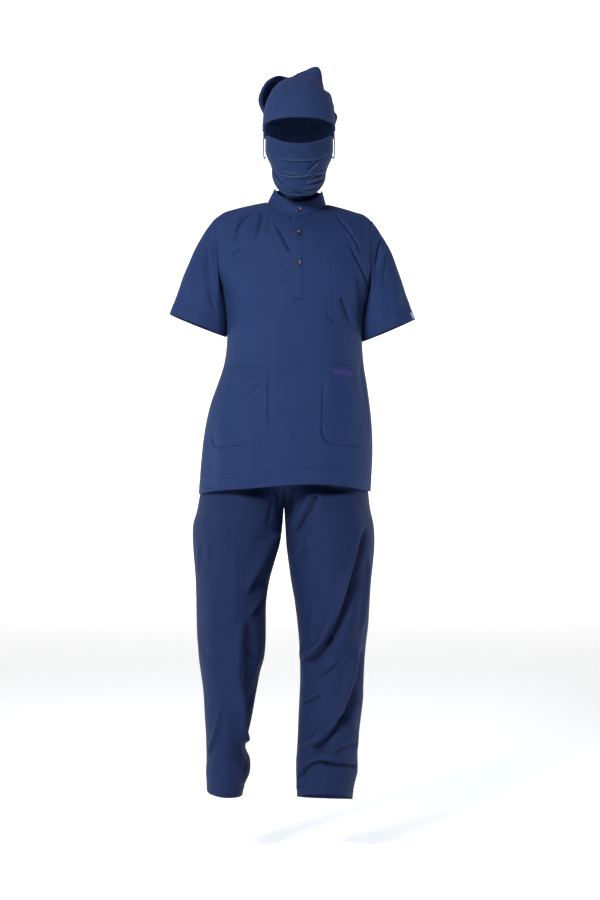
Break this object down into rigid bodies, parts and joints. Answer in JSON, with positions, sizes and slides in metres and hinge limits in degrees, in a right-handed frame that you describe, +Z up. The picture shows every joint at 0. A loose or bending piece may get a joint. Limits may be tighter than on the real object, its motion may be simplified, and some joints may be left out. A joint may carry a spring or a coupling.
{
  "type": "set of medical scrubs",
  "caption": "Medical scrubs set in worn pose: short-sleeved stand-collar tunic with button placket and patch pockets, straight trousers, soft surgical cap and pleated face mask; all hollow.",
  "frame": {"origin": "the point on the shoulder line at the base of the neck from which the worn set hangs", "axes": "+Z up along the standing wearer; the front faces -Y; +X towards the wearer's left"},
  "size_m": [0.54, 0.2817, 1.6202],
  "materials": {
    "tunic_cloth": "matte plain-woven poly-cotton, navy",
    "trouser_cloth": "matte plain-woven poly-cotton, navy",
    "headwear_cloth": "matte plain-woven poly-cotton, navy",
    "woven_label": "smooth woven tape, blue-violet",
    "button_resin": "polished resin, dark blue-violet",
    "elastic": "soft round elastic cord, navy"
  },
  "bodies": {
    "root": {"tunic_front": "tunic_cloth", "tunic_back": "tunic_cloth", "sleeve_left": "tunic_cloth", "sleeve_right": "tunic_cloth", "collar": "tunic_cloth", "placket": "tunic_cloth", "chest_pocket": "tunic_cloth", "hip_pocket_left": "tunic_cloth", "hip_pocket_right": "tunic_cloth", "pocket_label": "woven_label", "sleeve_label": "woven_label", "button_1": "button_resin", "button_2": "button_resin", "button_3": "button_resin", "trouser_front_left": "trouser_cloth", "trouser_front_right": "trouser_cloth", "trouser_back_left": "trouser_cloth", "trouser_back_right": "trouser_cloth", "waistband": "trouser_cloth", "cap_crown": "headwear_cloth", "cap_front": "headwear_cloth", "mask": "headwear_cloth", "ear_loop_left": "elastic", "ear_loop_right": "elastic"}
  },
  "joints": []
}
